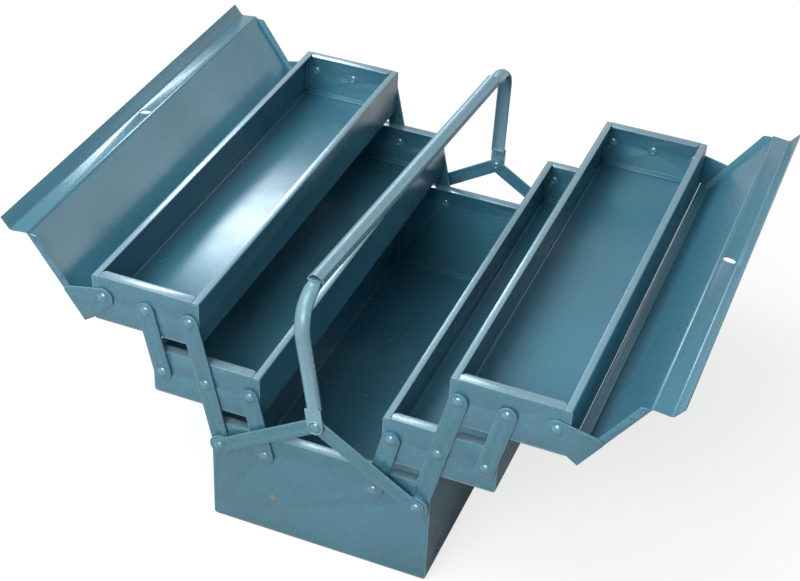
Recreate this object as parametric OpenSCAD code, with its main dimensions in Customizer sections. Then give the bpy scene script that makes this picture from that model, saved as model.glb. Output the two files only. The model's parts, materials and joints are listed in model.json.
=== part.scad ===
// Cantilever tool box, drawn standing open.
// X runs across the box, Y along the handle, Z up. The origin is on the ground,
// at the middle of the base box. Trays on the +X side are drawn and mirrored.

/* [Base box] */
// Outside width of the base box, and of the closed trays together
base_w = 200; // [180:1:260]
// Outside length of every box, along the handle
box_l = 430; // [300:1:560]
// Height of the base box
base_h = 107; // [90:1:150]

/* [Trays] */
// Height of each of the four trays
tray_h = 45; // [40:1:56]
// Thickness of the sheet metal
sheet = 1.2; // [0.8:0.1:1.6]
// Outside bend radius along the bottom edges
bend_r = 3; // [2.5:0.5:5]
// Width of the folded rim along the long sides
rim_w = 6.5; // [5:0.5:9]
// Thickness of the folded rim, which is sheet on sheet
rim_t = 2; // [1.6:0.1:3]
// Width of the top flange of the end panels
flange_w = 9.5; // [7:0.5:14]
// Width of the weld flanges inside the boxes
weld_w = 8; // [6:0.5:12]

/* [Arms] */
// Distance between two neighbouring pivots of an arm
stage_r = 61; // [58:0.5:66]
// Angle past upright at which the arms rest when the box is open
open_lean = 12.7; // [8:0.1:20]
// Distance between pivots along a tray's end panel
pivot_pitch = 40.6; // [38:0.1:44]
// Distance from a tray's inner edge to its first pivot
pivot_inset = 8.6; // [8.2:0.1:12]
// Distance from a rim down to the pivots
pivot_drop = 21; // [18:0.5:26]
// Width of the flat arms
arm_w = 16; // [12:0.5:16]
// Thickness of the flat arms
arm_t = 2; // [1.5:0.1:2]

/* [Rivets] */
// Radius of a rivet's shank
shank_r = 2.5; // [2:0.1:3]
// Radius of a rivet's round head
head_r = 5; // [4:0.1:5.5]
// Height of a rivet's round head
head_h = 2.2; // [1.5:0.1:2.2]

/* [Lids] */
// Distance from a top tray's outer edge to the lid pivot
lid_inset = 10; // [9.8:0.1:14]
// Height of the lid's flat panel over its pivot
lid_rise = 32; // [30:0.5:34]
// Turn of a lid from flat to fully open
lid_open = 124.4; // [110:0.1:125]
// Distance from the pivot to the ridge of the lid
lid_ridge = 75.5; // [70:0.5:76]
// Length of the raised step between ridge and lip
lid_step = 16; // [12:0.5:18]
// Length of the lip that crosses the middle of the box
lid_lip = 13.5; // [8:0.5:14]
// Depth of the flange along the lid's outer edge, which rests on the open tray
lid_flange = 10.7; // [6:0.1:10.7]
// Depth of the flanges at the lid's two ends
lid_end_flange = 7; // [5:0.5:9]
// Width of the padlock slot
slot_w = 7.5; // [5:0.5:9]
// Length of the padlock slot
slot_l = 11; // [9.5:0.5:12]

/* [Handle] */
// Height of the rivets that carry the handle
handle_z = 142; // [139:0.5:150]
// Height of the middle of the grip
grip_z = 259; // [252:0.5:275]
// Outside diameter of the grip
grip_d = 14.5; // [14:0.5:17]
// Where the grip tube starts, measured from the middle of the box to the front
grip_front = 188; // [120:1:188]
// Where the grip tube ends, measured from the middle of the box to the rear
grip_rear = 182; // [120:1:188]
// Width of the handle's strap
strap_w = 13.6; // [12:0.1:14]
// Depth of the channel that stiffens the strap
strap_bulge = 3.4; // [2.5:0.1:3.4]
// Outside radius of the strap's bend over the front leg
front_bend = 34; // [26:1:34]
// Outside radius of the strap's bend over the rear leg
rear_bend = 24; // [20:1:34]
// Lean of the front leg towards the left, which use has bent
front_lean = 9; // [0:0.5:9]
// Lean of the rear leg towards the right
rear_lean = 0.8; // [0:0.1:3]
// Width of the struts that hold the handle up
strut_w = 14; // [12:0.5:15]
// Thickness of the struts and of the strap
strut_t = 1.6; // [1.2:0.1:1.6]

/* [Hidden] */
$fn = 48;

paint = "#5f87a0";
paint_dark = "#4d7389";
rivet_tone = "#7fa5b8";

// Clearances: between stacked or facing trays, beside a turning arm, under a rivet
// head that an arm turns beneath, round a shank, and over an arm's rivet heads
stack_gap = 0.4;
side_gap = 0.3;
head_gap = 0.05;
run_gap = 0.05;
fixed_gap = 0.02;
layer_gap = 0.25;

// Trays and where they stand when the box is open
tray_w = base_w / 2 - 2 * stack_gap;
closed_rise = tray_h + stack_gap;
closed_reach = sqrt(stage_r * stage_r - closed_rise * closed_rise);
arm_dx = stage_r * sin(open_lean);
arm_dz = stage_r * cos(open_lean);
mid_x = stack_gap + closed_reach + arm_dx;
mid_z = base_h + stack_gap + arm_dz - closed_rise;
top_x = mid_x + closed_reach + arm_dx;
top_z = mid_z + arm_dz;

// Pivots, each [x, z] with the box open
base_pz = base_h - pivot_drop;
lower_pivot = [stack_gap + pivot_inset + closed_reach, base_pz];
long_pivot = lower_pivot + [pivot_pitch, 0];
arm_step = [arm_dx, arm_dz];
upper_pivot = long_pivot + arm_step + [pivot_pitch, 0];
lid_pivot_up = 0.5;
lid_pivot = [top_x + tray_w - lid_inset, top_z + tray_h - pivot_drop + lid_pivot_up];
handle_pivot = [0, handle_z];

// Layers outside an end panel, each the distance of its inner face
end_y = box_l / 2;
arm_layer = side_gap;
arm_out = arm_layer + arm_t;
strut_layer = arm_out + head_gap + head_h + layer_gap;
strut_layer_2 = strut_layer + strut_t;
strap_layer = strut_layer_2 + strut_t + side_gap;
cheek_layer = side_gap;

// Repeated placing
module on_side(side) { mirror([side < 0 ? 1 : 0, 0, 0]) children(); }
module at_end(end) { mirror([0, end < 0 ? 1 : 0, 0]) children(); }

// Stands a flat outline, drawn in X and Z, up as a plate on an end panel
module plate(layer, thick) {
    translate([0, end_y + layer + thick, 0]) rotate([90, 0, 0])
        linear_extrude(thick) children();
}

// Box outline seen from the end, with rounded bottom corners
module box_outline(w, h, r) {
    translate([0, r]) square([w, h - r]);
    translate([r, 0]) square([w - 2 * r, h]);
    for (x = [r, w - r]) translate([x, r]) circle(r);
}

// Folded sheet of a box: two sides, the floor and the rims, from its lower corner
module shell(w, h) {
    translate([0, end_y, 0]) rotate([90, 0, 0]) linear_extrude(box_l) {
        difference() {
            box_outline(w, h, bend_r);
            translate([sheet, sheet]) box_outline(w - 2 * sheet, h, bend_r - sheet);
        }
        for (x = [0, w - rim_w]) translate([x, h - rim_t]) square([rim_w, rim_t]);
    }
}

// End panel with its top flange, weld flanges and rivet holes at xs
module end_panel(w, h, xs, pz) {
    inner_w = w - 2 * sheet;
    clear = 0.2;
    difference() {
        plate(-sheet, sheet) difference() {
            translate([sheet, sheet]) box_outline(inner_w, h - sheet, bend_r - sheet);
            for (x = [0, w - rim_w - clear]) translate([x, h - rim_t - clear / 2])
                square([rim_w + clear, 2 * rim_t]);
        }
        for (x = xs) pivot_hole(x, pz, shank_r + fixed_gap);
    }
    // Top flange, folded inwards, with rounded corners
    flange_x = rim_w + clear;
    corner = (flange_w - sheet) / 2;
    translate([flange_x, end_y - flange_w, h - sheet]) linear_extrude(sheet) {
        translate([corner, 0]) square([w - 2 * flange_x - 2 * corner, flange_w - sheet]);
        translate([0, corner]) square([w - 2 * flange_x, flange_w - sheet - corner]);
        for (x = [corner, w - 2 * flange_x - corner]) translate([x, corner]) circle(corner);
    }
    // Weld flanges on the floor and on the two sides
    translate([bend_r, end_y - weld_w, sheet])
        cube([w - 2 * bend_r, weld_w - sheet, sheet]);
    for (x = [sheet, w - 2 * sheet]) translate([x, end_y - weld_w, bend_r + 2])
        cube([sheet, weld_w - sheet, h - bend_r - rim_t - 6]);
}

module pivot_hole(x, z, r) {
    translate([x, end_y + 20, z]) rotate([90, 0, 0]) cylinder(r = r, h = 40);
}

// Round head of a rivet, standing on the XY plane
module dome(r, h) {
    ball = (r * r + h * h) / (2 * h);
    rotate_extrude() intersection() {
        translate([0, h - ball]) circle(ball, $fn = 96);
        square([r, h]);
    }
}

// Set end of a rivet: a low dome with a dimple in its middle
module set_end(r, h) {
    dimple_r = 1.9;
    difference() {
        dome(r, h);
        translate([0, 0, h + dimple_r / 3]) sphere(dimple_r);
    }
}

// Rivet through an end panel, its head standing on a layer's outer face
module rivet(p, inner, outer) {
    set_r = head_r - 0.2;
    set_h = 1.7;
    sunk = 0.4;
    translate([p[0], end_y, p[1]]) rotate([-90, 0, 0]) {
        translate([0, 0, inner]) cylinder(r = shank_r, h = outer - inner + sunk);
        translate([0, 0, outer]) dome(head_r, head_h);
        translate([0, 0, inner]) mirror([0, 0, 1]) set_end(set_r, set_h);
    }
}

// Flat bar with round ends and holes at the given points along it
module bar(a, b, w, layer, thick, holes, hole_r) {
    run = b - a;
    len = norm(run);
    plate(layer, thick) translate(a) rotate(atan2(run[1], run[0])) difference() {
        union() {
            translate([0, -w / 2]) square([len, w]);
            for (x = [0, len]) translate([x, 0]) circle(d = w);
        }
        for (x = holes) translate([x, 0]) circle(hole_r);
    }
}

// Base box
module base_shell() {
    color(paint_dark) translate([-base_w / 2, 0, 0]) shell(base_w, base_h);
}

module base_panel(end) {
    holes = [for (s = [-1, 1], p = [lower_pivot, long_pivot]) base_w / 2 + s * p[0]];
    color(paint) at_end(end) translate([-base_w / 2, 0, 0])
        end_panel(base_w, base_h, holes, base_pz);
}

// A strut's layer: at the front the left strut lies inside, at the rear the right one
function strut_at(side, end) = side * end > 0 ? strut_layer : strut_layer_2;

module base_pivot_rivets() {
    color(rivet_tone) for (side = [-1, 1], end = [-1, 1]) at_end(end) on_side(side) {
        rivet(lower_pivot, -sheet, arm_out + head_gap);
        rivet(long_pivot, -sheet, strut_at(side, end) + strut_t + head_gap);
    }
}

module strut(side, end) {
    color(paint) at_end(end) on_side(side)
        bar(long_pivot, handle_pivot, strut_w, strut_at(side, end), strut_t,
            [0, norm(long_pivot - handle_pivot)], shank_r + fixed_gap);
}

module strut_spacers() {
    spacer_r = 9.5;
    color(paint_dark) for (side = [-1, 1], end = [-1, 1]) at_end(end) on_side(side)
        plate(arm_out + head_gap, strut_at(side, end) - arm_out - head_gap)
            translate(long_pivot) difference() {
                circle(spacer_r);
                circle(shank_r + fixed_gap);
            }
}

// Handle: a strap with two legs, and a grip tube round its top
module handle_rivets() {
    tail_in = strut_layer;
    color(rivet_tone) for (end = [-1, 1]) at_end(end)
        rivet(handle_pivot, tail_in, strap_layer + strut_t + head_gap);
}

// The crown of the strap lies a little above the middle of the grip
crown_z = grip_z + 1.5;
leg_y = end_y + strap_layer + strut_t;
arc_r = (strap_w * strap_w / 4 + strap_bulge * strap_bulge) / (2 * strap_bulge);
tongue_l = 17;
tongue_w = strap_w + 0.8;
neck_w = 8.6;
neck_in = 5;

// Where the strap's top run starts and ends, [x, y]
function leg_top(lean) = (crown_z - handle_z) * tan(lean);
run_from = [leg_top(-front_lean), -(leg_y - front_bend)];
run_to = [leg_top(rear_lean), leg_y - rear_bend];
run_yaw = atan2(run_to[0] - run_from[0], run_to[1] - run_from[1]);
function run_at(y) =
    let (share = (y - run_from[1]) / (run_to[1] - run_from[1]))
    [run_from[0] + share * (run_to[0] - run_from[0]), y];

// Cross-section of the strap's channel, outer face at the origin, outwards along +X
module channel_outline() {
    depth = strap_bulge + strut_t;
    intersection() {
        translate([-arc_r, 0]) circle(arc_r, $fn = 96);
        translate([-depth, -strap_w / 2]) square([depth, strap_w]);
    }
}

module channel_section() {
    difference() {
        channel_outline();
        translate([-arc_r, 0]) circle(arc_r - strut_t, $fn = 96);
    }
}

// Cuts the strap narrower where it enters the grip, seen from above
module neck_cut(mouth_y) {
    taper = 12;
    for (s = [0, 1]) mirror([s, 0, 0]) translate([0, 0, -handle_z]) linear_extrude(2 * grip_z)
        polygon([
            [strap_w / 2 + 0.1, mouth_y + taper],
            [neck_w / 2, mouth_y],
            [neck_w / 2, 0],
            [strap_w, 0],
            [strap_w, mouth_y + taper]
        ]);
}

// One leg with its bend, drawn at the rear end about the handle's pivot
module handle_leg(lean, bend, mouth_y) {
    top = (crown_z - handle_z) / cos(lean);
    bead_r = 0.9;
    translate([handle_pivot[0], 0, handle_z]) rotate([0, lean, 0]) difference() {
        union() {
            // Flat tongue with a round end and a bead round the rivet
            translate([0, leg_y, 0]) rotate([90, 0, 0]) linear_extrude(strut_t) {
                circle(d = tongue_w);
                translate([-tongue_w / 2, 0]) square([tongue_w, tongue_l + sheet]);
            }
            translate([0, leg_y, 0]) rotate([90, 0, 0]) rotate_extrude($fn = 96)
                translate([tongue_w / 2 - bead_r - 0.2, 0]) circle(bead_r, $fn = 24);
            // Shoulder between the tongue and the channel
            translate([0, leg_y, tongue_l]) linear_extrude(sheet) rotate(90) channel_outline();
            translate([0, leg_y, tongue_l]) linear_extrude(top - bend - tongue_l) rotate(90)
                channel_section();
            translate([0, leg_y - bend, top - bend]) rotate([90, 0, 90])
                rotate_extrude(angle = 90, $fn = 96) translate([bend, 0]) channel_section();
            translate([0, leg_y - bend, top]) rotate([90, 0, 0])
                linear_extrude(leg_y - bend - mouth_y + neck_in) rotate(90) channel_section();
        }
        neck_cut(mouth_y);
        pivot_hole(0, 0, shank_r + run_gap);
    }
}

// Flat stretch of the strap inside the grip, its edges on the inside of the tube
module strap_run() {
    drop = 0.5;
    over = 1.5;
    top = crown_z - drop - grip_z;
    grip_inner_r = grip_d / 2 - sheet - fixed_gap;
    w = 2 * sqrt(grip_inner_r * grip_inner_r - top * top);
    a = run_at(-grip_front + over);
    b = run_at(grip_rear - over);
    translate([a[0], a[1], grip_z + top - strut_t]) rotate([0, 0, -run_yaw])
        translate([-w / 2, 0, 0]) cube([w, norm(b - a), strut_t]);
}

module handle_strap() {
    color(rivet_tone) {
        mirror([0, 1, 0]) handle_leg(-front_lean, front_bend, grip_front);
        handle_leg(rear_lean, rear_bend, grip_rear);
        strap_run();
    }
}

module handle_grip() {
    a = run_at(-grip_front);
    b = run_at(grip_rear);
    color(rivet_tone) translate([b[0], b[1], grip_z]) rotate([0, 0, -run_yaw]) rotate([90, 0, 0])
        linear_extrude(norm(b - a)) difference() {
            circle(d = grip_d);
            circle(d = grip_d - 2 * sheet);
        }
}

// Trays
mid_holes = [for (i = [0, 1, 2]) pivot_inset + i * pivot_pitch];
top_first = pivot_inset + pivot_pitch - closed_reach;
top_holes = [top_first, top_first + pivot_pitch, tray_w - lid_inset];
tray_pz = tray_h - pivot_drop;

module tray_shell(side, x, z) {
    color(paint) on_side(side) translate([x, 0, z]) shell(tray_w, tray_h);
}

module mid_panel(side, end) {
    color(paint) at_end(end) on_side(side) translate([mid_x, 0, mid_z])
        end_panel(tray_w, tray_h, mid_holes, tray_pz);
}

module top_panel(side, end) {
    color(paint) at_end(end) on_side(side) translate([top_x, 0, top_z]) difference() {
        end_panel(tray_w, tray_h, [top_holes[0], top_holes[1]], tray_pz);
        pivot_hole(top_holes[2], lid_pivot[1] - top_z, shank_r + fixed_gap);
    }
}

module tray_rivets(side, points) {
    color(rivet_tone) for (end = [-1, 1]) at_end(end) on_side(side)
        for (p = points) rivet(p, -sheet, arm_out + head_gap);
}

module lid_rivets(side) {
    color(rivet_tone) for (end = [-1, 1]) at_end(end) on_side(side)
        rivet(lid_pivot, -sheet, cheek_layer + sheet + head_gap);
}

// Arms
module arm(side, end, a, stages) {
    color(paint) at_end(end) on_side(side)
        bar(a, a + stages * arm_step, arm_w, arm_layer, arm_t,
            [for (i = [0 : stages]) i * stage_r], shank_r + run_gap);
}

// Lids: drawn flat about the pivot, with u towards the middle of the box and v up,
// then turned open
module lid_place(side) {
    on_side(side) translate([lid_pivot[0], 0, lid_pivot[1]]) rotate([0, lid_open, 0])
        mirror([1, 0, 0]) children();
}

lid_edge = -13.5;
step_slope = 62.5;
lip_slope = 4;
ridge = [lid_ridge, lid_rise];
step_top = ridge + lid_step * [cos(step_slope), sin(step_slope)];
lip_end = step_top + lid_lip * [cos(lip_slope), sin(lip_slope)];
lid_path = [[lid_edge, lid_rise - lid_flange], [lid_edge, lid_rise], ridge, step_top, lip_end];
lid_bends = [0, 2.5, 2.5, 4.5, 0];

// Points of a path with its corners rounded
function unit(v) = v / norm(v);
function turn(a, b) = atan2(a[0] * b[1] - a[1] * b[0], a * b);
function corner_arc(a, b, c, r, n = 5) =
    let (
        d = unit(b - a),
        e = unit(c - b),
        t = turn(d, e),
        s = t > 0 ? 1 : -1,
        start = b - d * r * tan(abs(t) / 2),
        hub = start + s * r * [-d[1], d[0]]
    )
    [for (i = [0 : n])
        hub + s * r * [
            d[1] * cos(i * t / n) + d[0] * sin(i * t / n),
            -d[0] * cos(i * t / n) + d[1] * sin(i * t / n)
        ]];
function rounded(path, radii) = [
    for (i = [0 : len(path) - 1])
        for (q = radii[i] > 0
            ? corner_arc(path[i - 1], path[i], path[i + 1], radii[i]) : [path[i]]) q
];

// The same path moved sideways by the sheet's thickness
function side_of(path, i, t) =
    let (
        last = len(path) - 1,
        d = i > 0 ? unit(path[i] - path[i - 1]) : unit(path[1] - path[0]),
        e = i < last ? unit(path[i + 1] - path[i]) : d,
        m = unit([d[1] + e[1], -d[0] - e[0]])
    )
    path[i] + m * t / (m * [d[1], -d[0]]);

function sheet_outline(path, t) = concat(
    path,
    [for (i = [len(path) - 1 : -1 : 0]) side_of(path, i, t)]
);

module lid_profile() {
    polygon(sheet_outline(rounded(lid_path, lid_bends), sheet));
}

// The end flanges stand just inside the cheeks, which are spot welded to them
module lid_sheet(side) {
    outer = cheek_layer;
    flange_end = lid_ridge - 2;
    color(paint) lid_place(side) difference() {
        union() {
            translate([0, end_y + outer, 0]) rotate([90, 0, 0])
                linear_extrude(box_l + 2 * outer) lid_profile();
            for (end = [-1, 1]) at_end(end) plate(outer - sheet, sheet) polygon([
                [lid_edge + sheet, lid_rise - lid_end_flange],
                [flange_end - 4, lid_rise - lid_end_flange],
                [flange_end, lid_rise - 2.5],
                [flange_end, lid_rise - sheet],
                [lid_edge + sheet, lid_rise - sheet]
            ]);
        }
        padlock_slot();
    }
}

// Slot with round ends that runs across the step of the lid
module padlock_slot() {
    middle = (ridge + step_top) / 2;
    translate([middle[0], 0, middle[1]]) rotate([0, -step_slope, 0])
        linear_extrude(24, center = true) {
            square([slot_l - slot_w, slot_w], center = true);
            for (x = [-1, 1]) translate([x * (slot_l - slot_w) / 2, 0]) circle(d = slot_w);
        }
}

// Ear that hangs a lid on its pivot, welded over the lid's end flange. Its straight
// sides meet the round end a little inside the rim, at the points where they touch it
ear_r = 9.5;
function touch_point(p, side) =
    let (a = atan2(p[1], p[0]) + side * acos(ear_r / norm(p)))
    0.985 * ear_r * [cos(a), sin(a)];

module lid_cheek(side, end) {
    outer_foot = [lid_edge, lid_rise - lid_flange];
    inner_foot = [20.5, lid_rise - lid_end_flange + 1];
    color(paint) at_end(end) lid_place(side) plate(cheek_layer, sheet) difference() {
        union() {
            circle(ear_r);
            polygon([
                [0, -2],
                touch_point(inner_foot, -1),
                inner_foot,
                [20.5, lid_rise - 2],
                [18.5, lid_rise],
                [lid_edge, lid_rise],
                outer_foot,
                touch_point(outer_foot, 1)
            ]);
        }
        circle(shank_r + run_gap);
    }
}

base_shell();
base_panel(-1);  // base_front_panel
base_panel(1);  // base_rear_panel
base_pivot_rivets();
strut(-1, -1);  // front_left_strut
strut(1, -1);  // front_right_strut
strut(-1, 1);  // rear_left_strut
strut(1, 1);  // rear_right_strut
strut_spacers();
handle_rivets();
handle_strap();
handle_grip();

// The loop names each side's and end's nodes in the same words
for (side = [-1, 1]) {
    hand = side < 0 ? "left" : "right";
    tray_shell(side, mid_x, mid_z);
    tray_shell(side, top_x, top_z);
    tray_rivets(side,
        [lower_pivot + arm_step, long_pivot + arm_step, upper_pivot]);
    tray_rivets(side,
        [long_pivot + 2 * arm_step, upper_pivot + arm_step]);
    lid_rivets(side);
    lid_sheet(side);
    for (end = [-1, 1]) {
        at = end < 0 ? "front" : "rear";
        mid_panel(side, end);
        top_panel(side, end);
        arm(side, end, long_pivot, 2);
        arm(side, end, lower_pivot, 1);
        arm(side, end, upper_pivot, 1);
        lid_cheek(side, end);
    }
}
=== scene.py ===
# %% [markdown]
# # A cantilever tool box in blue-grey enamel
# This lesson dresses the imported model of a five-compartment steel tool box. The box stands
# open: four trays have swung out on flat riveted arms, and two lids hang outwards.
# The sheets, arms and rivets come with the model. What Blender adds is what makes them look like
# painted steel: light, enamel, rounded edges with wear and painted highlights, a rolled grip and
# weld spots.

# %% [markdown]
# ## The imported model
# Each solid piece of the real box is a node here, with its mesh already in place, in metres.
# We could model the box a second time, but its joints and its looks would soon disagree, so
# everything below hangs on these nodes.

# %% Load the imported model
import bpy
import math
import json
from mathutils import Vector, Matrix


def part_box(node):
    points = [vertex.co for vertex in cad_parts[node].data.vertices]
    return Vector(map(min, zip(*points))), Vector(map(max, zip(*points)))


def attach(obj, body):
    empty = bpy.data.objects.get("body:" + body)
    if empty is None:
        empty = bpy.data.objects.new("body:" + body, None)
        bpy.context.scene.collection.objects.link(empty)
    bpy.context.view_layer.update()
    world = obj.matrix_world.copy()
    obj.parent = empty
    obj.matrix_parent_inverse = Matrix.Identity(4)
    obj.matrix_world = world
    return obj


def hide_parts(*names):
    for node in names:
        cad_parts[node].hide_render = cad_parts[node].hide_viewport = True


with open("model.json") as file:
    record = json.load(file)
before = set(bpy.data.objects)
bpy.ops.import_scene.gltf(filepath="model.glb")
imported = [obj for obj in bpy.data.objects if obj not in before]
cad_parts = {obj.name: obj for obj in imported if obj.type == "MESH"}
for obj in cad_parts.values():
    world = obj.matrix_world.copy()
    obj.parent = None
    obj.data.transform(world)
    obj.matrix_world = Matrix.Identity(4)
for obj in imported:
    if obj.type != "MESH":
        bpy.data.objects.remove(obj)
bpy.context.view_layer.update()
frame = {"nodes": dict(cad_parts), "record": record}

# %% [markdown]
# ## Camera
# The photograph looks down on the front end of the box, from a little to the right of it. A
# camera could be pointed by hand until the picture fits, but the corners of the trays give its
# place and angles far more closely, so we write these down. A camera looks along its own -Z, with
# +Y up: we build its three axes from the compass angle, the height angle and a small roll.

# %% Where the camera looks
CAMERA_PLACE = Vector((0.4167, -1.1718, 1.0436))
COMPASS = math.radians(20.249)
HEIGHT = math.radians(36.285)
ROLL = math.radians(3.014)

forward = Vector((
    -math.sin(COMPASS) * math.cos(HEIGHT),
    math.cos(COMPASS) * math.cos(HEIGHT),
    -math.sin(HEIGHT),
))
level_right = forward.cross(Vector((0, 0, 1))).normalized()
level_up = level_right.cross(forward)
right = level_right * math.cos(ROLL) + level_up * math.sin(ROLL)
up = level_up * math.cos(ROLL) - level_right * math.sin(ROLL)
turn = Matrix((right, up, -forward)).transposed()
print("the camera looks along", [round(v, 3) for v in forward])

# %% The camera
FRAME_WIDTH_PX = 800
SENSOR_MM = 36.0
FOCAL_PX = 1677.2

camera = bpy.data.objects.new("camera", bpy.data.cameras.new("camera"))
camera.data.lens = FOCAL_PX * SENSOR_MM / FRAME_WIDTH_PX
camera.data.sensor_width = SENSOR_MM
camera.matrix_world = Matrix.Translation(CAMERA_PLACE) @ turn.to_4x4()
bpy.context.scene.collection.objects.link(camera)
bpy.context.scene.camera = camera
bpy.context.scene.view_settings.view_transform = "Standard"
print("lens", round(camera.data.lens, 1), "mm")

# %% [markdown]
# ## Helpers for nodes
# Every surface, and the sky too, is a network of nodes, small boxes that each do one thing. They
# can be placed and joined with the mouse in the shader editor. In a script the same few lines
# would come back dozens of times, so short helpers do the adding, linking and mixing.

# %% Helpers for node trees
def new_material(name):
    material = bpy.data.materials.new(name)
    material.use_nodes = True
    material.node_tree.nodes.clear()
    return material

def add_node(tree, kind, **values):
    node = tree.nodes.new(kind)
    for key, value in values.items():
        setattr(node, key, value)
    return node

def link(tree, out, into):
    tree.links.new(out, into)

def ramp(tree, source, span, low_colour, high_colour):
    node = add_node(tree, "ShaderNodeValToRGB")
    for stop, place, colour in zip(node.color_ramp.elements, span, (low_colour, high_colour)):
        stop.position = place
        stop.color = (*colour, 1)
    link(tree, source, node.inputs[0])
    return node.outputs[0]

# %% Two ways to mix colours
def multiply(tree, under, tint, share):
    node = add_node(tree, "ShaderNodeMix", data_type="RGBA", blend_type="MULTIPLY")
    node.inputs["Factor"].default_value = share
    link(tree, under, node.inputs["A"])
    link(tree, tint, node.inputs["B"])
    return node.outputs["Result"]

def lay_over(tree, under, colour, mask):
    node = add_node(tree, "ShaderNodeMix", data_type="RGBA")
    node.inputs["B"].default_value = (*colour, 1)
    link(tree, mask, node.inputs["Factor"])
    link(tree, under, node.inputs["A"])
    return node.outputs["Result"]

# %% [markdown]
# ## One answer for each kind of ray
# In a studio the white ground is lit for the camera, and dark cloth keeps that light off the
# object. Blender could copy this with hidden planes. Light Path is simpler: it tells what kind of
# ray has arrived, so that a floor or a sky can answer in three ways, to soft bounced light, to
# rays that were mirrored or went through glass, and to the camera.

# %% Choose by ray
def by_ray(tree, for_bounce, for_gloss, for_camera):
    path = add_node(tree, "ShaderNodeLightPath")
    mirrored = add_node(tree, "ShaderNodeMath", operation="MAXIMUM")
    link(tree, path.outputs["Is Glossy Ray"], mirrored.inputs[0])
    link(tree, path.outputs["Is Transmission Ray"], mirrored.inputs[1])
    in_gloss = add_node(tree, "ShaderNodeMixShader")
    link(tree, mirrored.outputs[0], in_gloss.inputs[0])
    link(tree, for_bounce.outputs[0], in_gloss.inputs[1])
    link(tree, for_gloss.outputs[0], in_gloss.inputs[2])
    to_camera = add_node(tree, "ShaderNodeMixShader")
    link(tree, path.outputs["Is Camera Ray"], to_camera.inputs[0])
    link(tree, in_gloss.outputs[0], to_camera.inputs[1])
    link(tree, for_camera.outputs[0], to_camera.inputs[2])
    return to_camera.outputs[0]

# %% [markdown]
# ## Floor
# The ground in the picture is white, with a faint shadow. A plain white plane would also throw
# that white up at the box and wash out its undersides. So the floor is white to the camera, by a
# little light of its own over a grey that still takes the shadow, pale in gloss, and a dim warm
# grey to bounced light. It lies half a millimetre low, so that it never meets the box's own floor.

# %% Floor
FLOOR_BOUNCE = (0.16, 0.155, 0.135)
FLOOR_IN_GLOSS = (0.82, 0.82, 0.82)
FLOOR_SEEN = (0.36, 0.36, 0.36)
FLOOR_GLOW = 0.75
FLOOR_SIZE = 30
FLOOR_DROP = 0.0005

def matt(tree, colour):
    shader = add_node(tree, "ShaderNodeBsdfDiffuse")
    shader.inputs["Color"].default_value = (*colour, 1)
    return shader

def floor_material():
    material = new_material("floor_white")
    tree = material.node_tree
    out = add_node(tree, "ShaderNodeOutputMaterial")
    glow = add_node(tree, "ShaderNodeEmission")
    glow.inputs["Strength"].default_value = FLOOR_GLOW
    seen = add_node(tree, "ShaderNodeAddShader")
    link(tree, matt(tree, FLOOR_SEEN).outputs[0], seen.inputs[0])
    link(tree, glow.outputs[0], seen.inputs[1])
    surface = by_ray(tree, matt(tree, FLOOR_BOUNCE), matt(tree, FLOOR_IN_GLOSS), seen)
    link(tree, surface, out.inputs["Surface"])
    return material

bpy.ops.object.select_all(action="DESELECT")
bpy.ops.mesh.primitive_plane_add(size=FLOOR_SIZE, location=(0, 0, -FLOOR_DROP))
floor = bpy.context.active_object
floor.name = "floor"
floor.data.materials.append(floor_material())
print("floor of", FLOOR_SIZE, "m")

# %% [markdown]
# ## Sky
# The real box mirrors a pale room that was darker on the right. A picture of a room could be
# wrapped round the scene, but a few ramps say the same and can be tuned one by one. Soft light
# comes mostly from above and fades towards +X. Gloss sees a white wall low down with dimmer air
# over it, which draws crisp tones on the enamel. The camera sees plain white. A span says where
# a ramp begins and ends: 0 is level with the horizon or straight ahead, 1 straight up or sideways.

# %% Tones of the sky
SKY_STRENGTH = 0.55
SKY_SPAN = (0.0, 0.9)
SKY_LOW = (0.30, 0.31, 0.32)
SKY_HIGH = (1.0, 1.02, 1.06)
SIDE_SPAN = (0.05, 0.75)
LIT_SIDE = (1, 1, 1)
DIM_SIDE = (0.10, 0.095, 0.08)
WALL_SPAN = (0.10, 0.30)
WALL_WHITE = (1, 1, 1)
AIR_OVER_WALL = (0.40, 0.41, 0.43)

def background(tree, colour, strength=1.0):
    shader = add_node(tree, "ShaderNodeBackground")
    shader.inputs["Strength"].default_value = strength
    link(tree, colour, shader.inputs["Color"])
    return shader

# %% Sky
def make_world():
    world = bpy.data.worlds.new("studio_sky")
    world.use_nodes = True
    tree = world.node_tree
    tree.nodes.clear()
    out = add_node(tree, "ShaderNodeOutputWorld")
    direction = add_node(tree, "ShaderNodeTexCoord")
    split = add_node(tree, "ShaderNodeSeparateXYZ")
    link(tree, direction.outputs["Generated"], split.inputs[0])
    height = ramp(tree, split.outputs["Z"], SKY_SPAN, SKY_LOW, SKY_HIGH)
    side = ramp(tree, split.outputs["X"], SIDE_SPAN, LIT_SIDE, DIM_SIDE)
    sky = background(tree, multiply(tree, height, side, 1.0), SKY_STRENGTH)
    wall = ramp(tree, split.outputs["Z"], WALL_SPAN, WALL_WHITE, AIR_OVER_WALL)
    mirrored = background(tree, wall)
    seen = add_node(tree, "ShaderNodeBackground")
    seen.inputs["Color"].default_value = (1, 1, 1, 1)
    link(tree, by_ray(tree, sky, mirrored, seen), out.inputs["Surface"])
    return world

bpy.context.scene.world = make_world()
print("sky:", len(bpy.context.scene.world.node_tree.nodes), "nodes")

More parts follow.
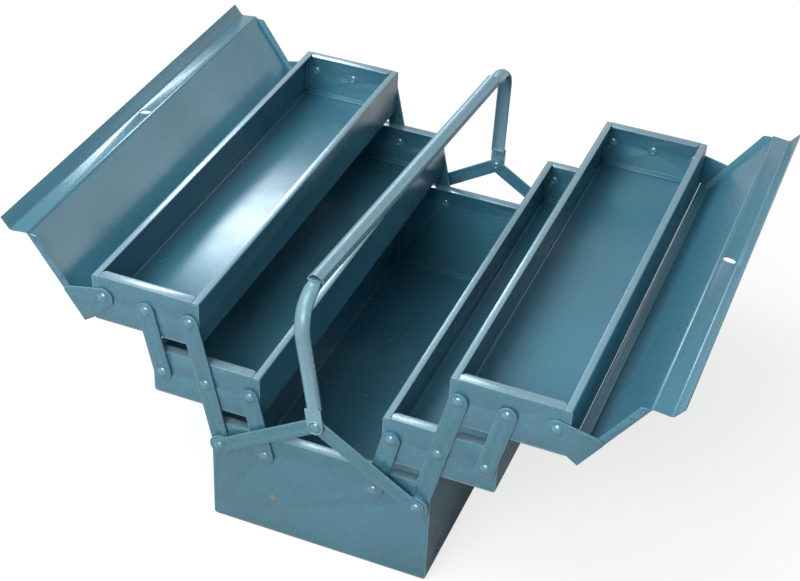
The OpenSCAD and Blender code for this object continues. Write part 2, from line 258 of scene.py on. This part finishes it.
# %% [markdown]
# ## Lamps
# Two broad lamps give the even light: one before the box and one high up on the left. Two more
# stand for what the enamel mirrors. On the real box a window lies as a pale band on the floor of
# the left top tray, and a bright wall greys the left lid. Lamps strong enough to be mirrored so
# would also light everything else, so these two are cards that only gloss can see: with
# visible_diffuse off they give no soft light.

# %% Lamps
MIDDLE_OF_BOX = (0, 0, 0.12)
LEFT_TOP_TRAY = (-0.155, 0, 0.18)
LEFT_LID = (-0.25, 0, 0.25)
WINDOW_TINT = (1.0, 0.95, 1.0)
WALL_TINT = (1.0, 0.97, 0.90)

def soft_lamp(name, place, target, size, power, tint=(1, 1, 1), gloss_only=False):
    data = bpy.data.lights.new(name, "AREA")
    data.shape = "RECTANGLE"
    data.size = size[0]
    data.size_y = size[1]
    data.energy = power
    data.color = tint
    lamp = bpy.data.objects.new(name, data)
    lamp.location = place
    lamp.rotation_mode = "QUATERNION"
    lamp.rotation_quaternion = (Vector(target) - Vector(place)).to_track_quat("-Z", "Y")
    lamp.visible_diffuse = not gloss_only
    bpy.context.scene.collection.objects.link(lamp)
    print(name, power, "W", "in gloss only" if gloss_only else "")

soft_lamp("front_lamp", place=(-0.35, -2.3, 1.7), target=MIDDLE_OF_BOX, size=(1.5, 1.2), power=41)
soft_lamp("top_lamp", place=(-0.9, -0.5, 2.2), target=MIDDLE_OF_BOX, size=(1.4, 1.4), power=27)
soft_lamp("window_card", place=(-1.13, 1.60, 1.60), target=LEFT_TOP_TRAY, size=(0.66, 0.66),
          power=15, tint=WINDOW_TINT, gloss_only=True)
soft_lamp("card_right", place=(0.95, 1.35, 0.62), target=LEFT_LID, size=(1.4, 1.1),
          power=4, tint=WALL_TINT, gloss_only=True)

# %% [markdown]
# ## Enamel: colour
# The steel is sprayed with one blue-grey enamel that has seen years of use. A photograph of paint
# could be wrapped round each piece, but it would stretch over the folds and repeat. Noise in the
# piece's own space runs on round every corner and never repeats, so each trace of use is a layer
# of noise: fine metallic flake, slow brownish clouds of grime, small pale scuffs, and a few chips
# down to a yellowish primer. Each layer is a small function, from the enamel's own colour up.

# %% Noise in the piece's own space
def noise(tree, place, scale, detail, roughness=0.55):
    node = add_node(tree, "ShaderNodeTexNoise")
    node.inputs["Scale"].default_value = scale
    node.inputs["Detail"].default_value = detail
    node.inputs["Roughness"].default_value = roughness
    link(tree, place.outputs["Object"], node.inputs["Vector"])
    return node.outputs[0]

# %% Flake
FLAKE_NOISE = {"scale": 620, "detail": 2}
FLAKE_SPAN = (0.32, 0.68)
FLAKE_DARK = 0.865
FLAKE_PALE = 1.153

def flake(tree, place, colour):
    dark = [c * FLAKE_DARK for c in colour]
    pale = [c * FLAKE_PALE for c in colour]
    return ramp(tree, noise(tree, place, **FLAKE_NOISE), FLAKE_SPAN, dark, pale)

# %% Grime
GRIME_NOISE = {"scale": 9, "detail": 5, "roughness": 0.6}
GRIME_SPAN = (0.38, 0.66)
GRIMY = (0.84, 0.86, 0.85)
CLEAN = (1.06, 1.06, 1.06)
GRIME_SHARE = 0.8

def grime(tree, clouds, under):
    return multiply(tree, under, ramp(tree, clouds, GRIME_SPAN, GRIMY, CLEAN), GRIME_SHARE)

# %% Scuffs
SCUFF_NOISE = {"scale": 55, "detail": 8, "roughness": 0.75}
SCUFF_SPAN = (0.66, 0.80)
RUB_GAIN = 1.5
RUB_LIFT = 0.05
NOWHERE = (0, 0, 0)

def scuffs(tree, place, under, colour, wear):
    spots = noise(tree, place, **SCUFF_NOISE)
    mask = ramp(tree, spots, SCUFF_SPAN, NOWHERE, (wear, wear, wear))
    rubbed = [c * RUB_GAIN + RUB_LIFT for c in colour]
    return lay_over(tree, under, rubbed, mask)

# %% Chips
CHIP_NOISE = {"scale": 38, "detail": 1}
CHIP_SPAN = (0.815, 0.83)
CHIP_COVER = (0.8, 0.8, 0.8)
PRIMER = (0.36, 0.30, 0.16)

def chips(tree, place, under):
    mask = ramp(tree, noise(tree, place, **CHIP_NOISE), CHIP_SPAN, NOWHERE, CHIP_COVER)
    return lay_over(tree, under, PRIMER, mask)

# %% [markdown]
# ## Enamel: gloss and skin
# Sprayed paint is never a perfect mirror. Where grime sits it is duller, and its skin dried with a
# faint orange peel over sheet that is itself slightly wavy. Both could be pressed into the mesh,
# but they are a fraction of a millimetre deep and would need millions of faces, so two Bump nodes
# tilt the light instead: the slow waves first, and the fine peel on top of them.

# %% Uneven gloss
CLOUD_LOW = 0.3
CLOUD_HIGH = 0.7
DULL_BY = 0.10
BRIGHT_BY = 0.06

def uneven_roughness(tree, clouds, roughness):
    node = add_node(tree, "ShaderNodeMapRange")
    node.inputs["From Min"].default_value = CLOUD_LOW
    node.inputs["From Max"].default_value = CLOUD_HIGH
    node.inputs["To Min"].default_value = roughness + DULL_BY
    node.inputs["To Max"].default_value = roughness - BRIGHT_BY
    link(tree, clouds, node.inputs[0])
    return node.outputs[0]

# %% Waves and orange peel
WAVE_NOISE = {"scale": 14, "detail": 1}
WAVE_BUMP = {"strength": 0.30, "depth": 0.0012}
PEEL_NOISE = {"scale": 480, "detail": 2}
PEEL_BUMP = {"strength": 0.25, "depth": 0.0003}

def bump(tree, height, strength, depth):
    node = add_node(tree, "ShaderNodeBump")
    node.inputs["Strength"].default_value = strength
    node.inputs["Distance"].default_value = depth
    link(tree, height, node.inputs["Height"])
    return node

def skin(tree, place):
    waves = bump(tree, noise(tree, place, **WAVE_NOISE), **WAVE_BUMP)
    peel = bump(tree, noise(tree, place, **PEEL_NOISE), **PEEL_BUMP)
    link(tree, waves.outputs[0], peel.inputs["Normal"])
    return peel.outputs[0]

# %% The whole enamel
def enamel(name, colour, roughness=0.23, metallic=0.12, gloss=0.95, wear=0.15):
    material = new_material(name)
    tree = material.node_tree
    out = add_node(tree, "ShaderNodeOutputMaterial")
    paint = add_node(tree, "ShaderNodeBsdfPrincipled")
    link(tree, paint.outputs[0], out.inputs["Surface"])
    paint.inputs["Metallic"].default_value = metallic
    paint.inputs["Specular IOR Level"].default_value = gloss
    place = add_node(tree, "ShaderNodeTexCoord")
    clouds = noise(tree, place, **GRIME_NOISE)
    tone = flake(tree, place, colour)
    tone = grime(tree, clouds, tone)
    tone = scuffs(tree, place, tone, colour, wear)
    tone = chips(tree, place, tone)
    link(tree, tone, paint.inputs["Base Color"])
    link(tree, uneven_roughness(tree, clouds, roughness), paint.inputs["Roughness"])
    link(tree, skin(tree, place), paint.inputs["Normal"])
    return material

# %% [markdown]
# ## One tin of paint, five finishes
# The whole box has one colour, yet a few parts take a paler copy of it. The handle's copy is paler
# and glossier, a painted sheen for the broad highlights on its strap and tube. The rivet heads are
# glossier and a little paler, a painted highlight. Where a sheet ends the paint wore thin, so the
# rounded cut edges are paler and show some metal: partly real wear, partly a painted highlight.
# The flat tops of the rims are paler as well, a painted reflection of the bright sky above them.
# Each finish could be a material of its own; mixing them all with one function keeps them kin.

# %% Mix the finishes
BLUE_GREY = (0.068, 0.240, 0.332)
# Paler than the enamel: a painted sheen for the broad highlights on the handle.
HANDLE_SHEEN_BLUE = (0.21, 0.40, 0.49)
# A little paler than the enamel: a painted highlight on the rivet heads, on top of their real gloss.
RIVET_HIGHLIGHT_BLUE = (0.12, 0.31, 0.40)
# Paler edge rounds: partly real worn paint, partly a painted highlight along each edge.
EDGE_WEAR_AND_HIGHLIGHT_TONE = (0.26, 0.40, 0.47)
# Paler rim tops: a painted reflection of the bright sky above them.
RIM_HIGHLIGHT_TONE = (0.24, 0.41, 0.49)
OWN_FINISH = {
    "handle_paint": {"colour": HANDLE_SHEEN_BLUE, "roughness": 0.28, "metallic": 0.15, "gloss": 0.8},
    "rivet_paint": {"colour": RIVET_HIGHLIGHT_BLUE, "roughness": 0.18, "metallic": 0.2},
}

paints = {}
for material in frame["record"]["materials"]:
    finish = OWN_FINISH.get(material["slot"], {"colour": BLUE_GREY})
    paints[material["slot"]] = enamel(material["slot"], **finish)
edge_wear_and_highlight_paint = enamel("edge_wear_and_highlight_paint", EDGE_WEAR_AND_HIGHLIGHT_TONE, roughness=0.3, metallic=0.3, wear=0.3)
rim_highlight_paint = enamel("rim_highlight_paint", RIM_HIGHLIGHT_TONE, roughness=0.26, metallic=0.25, wear=0.3)
print("enamels:", ", ".join(paints), "and the edges' and rims'")

# %% [markdown]
# ## Tools for shaping
# With the mouse we would click on the corners and faces that we want. A script has to find them,
# so select_part marks all corners or faces that pass a test on their place, and leaves the piece
# in edit mode for the next operator. The marks can only be set in object mode, which is why it
# goes there first. pick and apply_modifier do what a click on a piece and on Apply do.

# %% Selecting, picking and applying
def pick(piece):
    bpy.ops.object.select_all(action="DESELECT")
    piece.select_set(True)
    bpy.context.view_layer.objects.active = piece

def apply_modifier(piece, kind, **values):
    modifier = piece.modifiers.new(kind.lower(), kind)
    for key, value in values.items():
        setattr(modifier, key, value)
    pick(piece)
    bpy.ops.object.modifier_apply(modifier=modifier.name)

def select_part(piece, kind, test):
    bpy.context.view_layer.objects.active = piece
    bpy.ops.object.mode_set(mode="OBJECT")
    mesh = piece.data
    for group in (mesh.vertices, mesh.edges, mesh.polygons):
        for item in group:
            item.select = False
    chosen = 0
    for item in mesh.vertices if kind == "VERT" else mesh.polygons:
        if test(item.co if kind == "VERT" else item.center):
            item.select = True
            chosen += 1
    bpy.context.tool_settings.mesh_select_mode = (kind == "VERT", False, kind == "FACE")
    bpy.ops.object.mode_set(mode="EDIT")
    return chosen

# %% [markdown]
# ## Edges
# Sheet metal has no knife edges: after cutting, folding and painting, each edge is a small round
# that draws a bright line. Such lines could be painted on, but only a real round catches the
# light from every side. So we copy each imported piece, merge its loose triangles into whole
# faces, and let a Bevel modifier round what is sharp. It puts its new faces into the second
# material slot, which holds the paler edge paint: partly worn paint, partly a painted highlight
# over the light that the round catches. The imported meshes themselves stay as they are.

# %% A merged copy with its paints
EDGE_SLOT = 1
RIM_HIGHLIGHT_SLOT = 2
MERGE_WITHIN = 0.00001
FLAT_WITHIN = math.radians(0.6)
slot_of = {part["node"]: part["material_slot"] for part in frame["record"]["subparts"]}
body_of = {node: body for body, nodes in frame["record"]["behaviour"]["bodies"].items()
           for node in nodes}

def merged_copy(node_name):
    piece = bpy.data.objects.new(node_name + "_painted", frame["nodes"][node_name].data.copy())
    bpy.context.scene.collection.objects.link(piece)
    pick(piece)
    bpy.ops.object.mode_set(mode="EDIT")
    bpy.ops.mesh.select_all(action="SELECT")
    bpy.ops.mesh.remove_doubles(threshold=MERGE_WITHIN)
    bpy.ops.mesh.dissolve_limited(angle_limit=FLAT_WITHIN)
    bpy.ops.object.mode_set(mode="OBJECT")
    piece.data.materials.clear()
    for paint in (paints[slot_of[node_name]], edge_wear_and_highlight_paint, rim_highlight_paint):
        piece.data.materials.append(paint)
    return piece

# %% [markdown]
# ## Rims
# The long sides of the base box and the trays end in a folded rim. A pressed fold is never quite
# level: it slopes outward, and its outer edge is a wider round than a cut. A whole new profile
# could be drawn for it, but the imported shell is almost right, so we lower the rim's outer edge
# and bevel it in edit mode. The flat, upward-facing tops of rims and end panels take the third,
# paler paint, a painted highlight for the bright sky that they mirror.

# %% Shape and paint the rims
NEAR = 0.0001
RIM_SLOPE = 0.0004
FOLD_R = 0.0010
FACES_UP = 0.9

def fold_rim(piece, low, high):
    select_part(piece, "VERT", lambda p: p.z > high.z - NEAR
                and min(p.x - low.x, high.x - p.x) < NEAR)
    bpy.ops.transform.translate(value=(0, 0, -RIM_SLOPE))
    bpy.ops.mesh.bevel(offset=FOLD_R, segments=3, affect="EDGES")
    bpy.ops.object.mode_set(mode="OBJECT")

# Faces that look up at the rim's top take the paler paint, a painted highlight.
def paint_rim_highlight(piece, top):
    for face in piece.data.polygons:
        if face.normal.z > FACES_UP and face.center.z > top - RIM_SLOPE:
            face.material_index = RIM_HIGHLIGHT_SLOT

# %% [markdown]
# ## Dress the pieces
# Now each imported piece gets its painted copy. All of them could be one big mesh, but then nothing
# could move, so every copy stays a piece of its own: it is hung on the empty of the body that it
# moves with, the imported piece it stands for is hidden, and it wears the enamel of that piece's
# slot. The Bevel modifier rounds only what turns more sharply than a fold's own facets, and
# shading by angle makes bends look round and flat sheet flat. Rivet heads are small, so their
# edges are a little finer.

# %% Dress one piece
SHARP_PAST = math.radians(35)
SMOOTH_UP_TO = math.radians(32)

def dress(node_name, edge_width):
    piece = merged_copy(node_name)
    low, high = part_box(node_name)
    if "shell" in node_name:
        fold_rim(piece, low, high)
    if "shell" in node_name or "panel" in node_name:
        paint_rim_highlight(piece, high.z)
    apply_modifier(piece, "BEVEL", width=edge_width, segments=2, limit_method="ANGLE",
                   angle_limit=SHARP_PAST, material=EDGE_SLOT)
    bpy.ops.object.shade_smooth_by_angle(angle=SMOOTH_UP_TO)
    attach(piece, body_of[node_name])
    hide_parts(node_name)
    return piece

# %% Dress every piece but the grip
SHEET_EDGE = 0.0004
RIVET_EDGE = 0.0003
pieces = {}
for name in frame["nodes"]:
    if name != "handle_grip":
        pieces[name] = dress(name, RIVET_EDGE if "rivets" in name else SHEET_EDGE)
print("dressed", len(pieces), "pieces,", sum(len(p.data.polygons) for p in pieces.values()), "faces")

# %% [markdown]
# ## The grip
# The grip is a strip of sheet rolled into a tube round the strap, with its seam underneath and a
# slightly flared mouth at each end. A curve with a round profile would give a tube too, but no
# wall and no seam. So a cylinder without caps becomes the tube's outer skin: we extrude its end
# loops for the mouths and delete one strip of faces for the seam. It is built upright at the
# origin, where places are easy to test, and laid in place at the end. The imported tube's box gives
# its radius and its run, and a little room at the ends keeps the slanted mouths inside that box.

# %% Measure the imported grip
END_ROOM = 0.0012

grip_low, grip_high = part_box("handle_grip")
grip_r = (grip_high.z - grip_low.z) / 2
grip_run = Vector((grip_high.x - grip_low.x - 2 * grip_r, grip_high.y - grip_low.y, 0))
grip_middle = (grip_low + grip_high) / 2
half_run = grip_run.length / 2 - END_ROOM
print("grip radius", round(grip_r * 1000, 2), "mm, length", round(2000 * half_run, 1), "mm")

# %% Roll the grip
GRIP_FACES = 48
MOUTH = 0.0016
FLARE = 0.0003
SEAM_REACH = 0.0009

bpy.ops.object.select_all(action="DESELECT")
bpy.ops.mesh.primitive_cylinder_add(
    vertices=GRIP_FACES, radius=grip_r - FLARE, depth=2 * (half_run - MOUTH),
    end_fill_type="NOTHING", location=(0, 0, 0))
grip = bpy.context.active_object
grip.name = "rolled_grip"
flare = grip_r / (grip_r - FLARE)
for end in (-1, 1):
    loop = select_part(grip, "VERT", lambda p: end * p.z > half_run - MOUTH - NEAR)
    bpy.ops.mesh.extrude_region_move(TRANSFORM_OT_translate={"value": (0, 0, end * MOUTH)})
    bpy.ops.transform.resize(value=(flare, flare, 1))
print("mouth loops of", loop, "points")
seam = select_part(grip, "FACE", lambda p: p.y < 0 and 0 < p.x < SEAM_REACH)
bpy.ops.mesh.delete(type="FACE")
print("seam strip of", seam, "faces")
bpy.ops.object.mode_set(mode="OBJECT")

# %% [markdown]
# The real tube's mouths are cut a little slanting: the underside is shorter than the top. A
# bisect would cut them so, but the flare would then have to be made again. Moving the mouth
# loops' own points back, more and more towards the underside, keeps it. Solidify then grows the
# wall inwards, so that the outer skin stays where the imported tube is.

# %% Slant the mouths and give the sheet its thickness
SLANT = 0.002
SHEET = 0.0012
GRIP_EDGE = 0.0003
GRIP_SHARP_PAST = math.radians(40)

for corner in grip.data.vertices:
    if abs(corner.co.z) > half_run - MOUTH - NEAR:
        underside = (1 - corner.co.y / grip_r) / 2
        corner.co.z -= math.copysign(SLANT * underside, corner.co.z)
apply_modifier(grip, "SOLIDIFY", thickness=SHEET, offset=-1, use_even_offset=True)
grip.data.materials.append(paints["handle_paint"])
grip.data.materials.append(edge_wear_and_highlight_paint)
apply_modifier(grip, "BEVEL", width=GRIP_EDGE, segments=2, limit_method="ANGLE",
               angle_limit=GRIP_SHARP_PAST, material=EDGE_SLOT)
print("rolled grip has", len(grip.data.polygons), "faces")

# %% Lay the grip in place
grip.rotation_euler = (math.radians(90), 0, -math.atan2(grip_run.x, grip_run.y))
grip.location = grip_middle
pick(grip)
bpy.ops.object.transform_apply(location=True, rotation=True, scale=True)
bpy.ops.object.shade_smooth_by_angle(angle=SMOOTH_UP_TO)
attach(grip, "handle")
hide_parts("handle_grip")
print("grip from", round(grip_low.y, 3), "to", round(grip_high.y, 3), "m")

# %% [markdown]
# ## The strap's necks
# The strap narrows where it slips into the grip, though on the real handle it goes in at almost
# its full width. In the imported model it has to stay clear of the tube, so its necks are slim
# there. We could model the strap anew; it is enough to spread our copy's necks. Each point near
# a mouth moves away from the neck's middle, from nothing at the start of the taper to the full
# share at the mouth.

# %% Spread the strap's necks
NECK_TAPER = 0.012
SPREAD = 0.24
OVER_THE_LEGS = 0.2

strap = pieces["handle_strap"]
for mouth in (grip_low.y, grip_high.y):
    out = math.copysign(1, mouth)
    neck = [v for v in strap.data.vertices
            if abs(v.co.y - mouth) < NECK_TAPER and v.co.z > OVER_THE_LEGS]
    middle = sum(v.co.x for v in neck) / len(neck)
    for corner in neck:
        inward = min(1, (mouth + out * NECK_TAPER - corner.co.y) * out / NECK_TAPER)
        corner.co.x = middle + (corner.co.x - middle) * (1 + SPREAD * max(0, inward))
    print("neck at", round(mouth, 3), "spread", len(neck), "points")

# %% [markdown]
# ## Weld spots
# The lids' folded ends are spot welded, and the electrodes leave a low ring round a dimple. A
# bump pattern could draw it, but it would lie flat in a side view and vanish from the mesh. So
# one short cylinder is shaped by two insets, the first raised into the ring and the second sunk
# into the dimple, and then each lid gets its copies, turned to face outwards.

# %% One weld spot
SPOT_R = 0.0024
SPOT_H = 0.0005
RING_INSET = SPOT_R * 0.35
RING_RISE = SPOT_H * 0.5
DIMPLE_INSET = SPOT_R * 0.22
DIMPLE_DEPTH = SPOT_H * 0.9
SPOT_EDGE = 0.00015
SPOT_SHARP_PAST = math.radians(20)

bpy.ops.object.select_all(action="DESELECT")
bpy.ops.mesh.primitive_cylinder_add(vertices=24, radius=SPOT_R, depth=2 * SPOT_H)
spot = bpy.context.active_object
spot.name = "weld_spot"
select_part(spot, "FACE", lambda p: p.z > SPOT_H / 2)
bpy.ops.mesh.inset(thickness=RING_INSET)
bpy.ops.transform.translate(value=(0, 0, RING_RISE))
bpy.ops.mesh.inset(thickness=DIMPLE_INSET)
bpy.ops.transform.translate(value=(0, 0, -DIMPLE_DEPTH))
bpy.ops.object.mode_set(mode="OBJECT")
apply_modifier(spot, "BEVEL", width=SPOT_EDGE, segments=2, limit_method="ANGLE",
               angle_limit=SPOT_SHARP_PAST)
print("weld spot has", len(spot.data.polygons), "faces")

# %% [markdown]
# Three spots sit in a row along each end of each lid. The lids lean outwards here, so a place on
# the lid is given as two distances from its pivot, one along the lid and one square to it, and
# the lid's angle turns them into across and up. The copies of one lid are joined into one piece,
# because they were made in one go and move as one.

# %% Where the spots sit on a lid
LID_TURN = math.radians(124.4)
FLANGE_OUT = 0.2153
ALONG_LID = (0.030, 0.056, 0.069)
DOWN_LID = 0.0282

rivets_low, rivets_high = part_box("right_lid_rivets")
pivot_x = (rivets_low.x + rivets_high.x) / 2
pivot_z = (rivets_low.z + rivets_high.z) / 2
print("right lid turns at", round(pivot_x, 3), "m across,", round(pivot_z, 3), "m up")

def spot_copy(side, end, along):
    across = DOWN_LID * math.sin(LID_TURN) - along * math.cos(LID_TURN)
    rise = along * math.sin(LID_TURN) + DOWN_LID * math.cos(LID_TURN)
    piece = bpy.data.objects.new("spot", spot.data.copy())
    bpy.context.scene.collection.objects.link(piece)
    piece.location = (side * (pivot_x + across), end * FLANGE_OUT, pivot_z + rise)
    piece.rotation_euler = (math.radians(-90 * end), 0, 0)
    return piece

# %% Weld the lids
WELD_SMOOTH_UP_TO = math.radians(40)

for side, hand in ((-1, "left"), (1, "right")):
    copies = [spot_copy(side, end, along) for end in (-1, 1) for along in ALONG_LID]
    bpy.ops.object.select_all(action="DESELECT")
    for piece in copies:
        piece.select_set(True)
    bpy.context.view_layer.objects.active = copies[0]
    bpy.ops.object.join()
    welds = bpy.context.active_object
    welds.name = hand + "_lid_welds"
    bpy.ops.object.transform_apply(location=True, rotation=True, scale=True)
    bpy.ops.object.shade_smooth_by_angle(angle=WELD_SMOOTH_UP_TO)
    welds.data.materials.append(paints["lid_paint"])
    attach(welds, hand + "_lid")
    print(welds.name, "at", [round(v, 3) for v in welds.data.vertices[0].co])
bpy.data.objects.remove(spot)
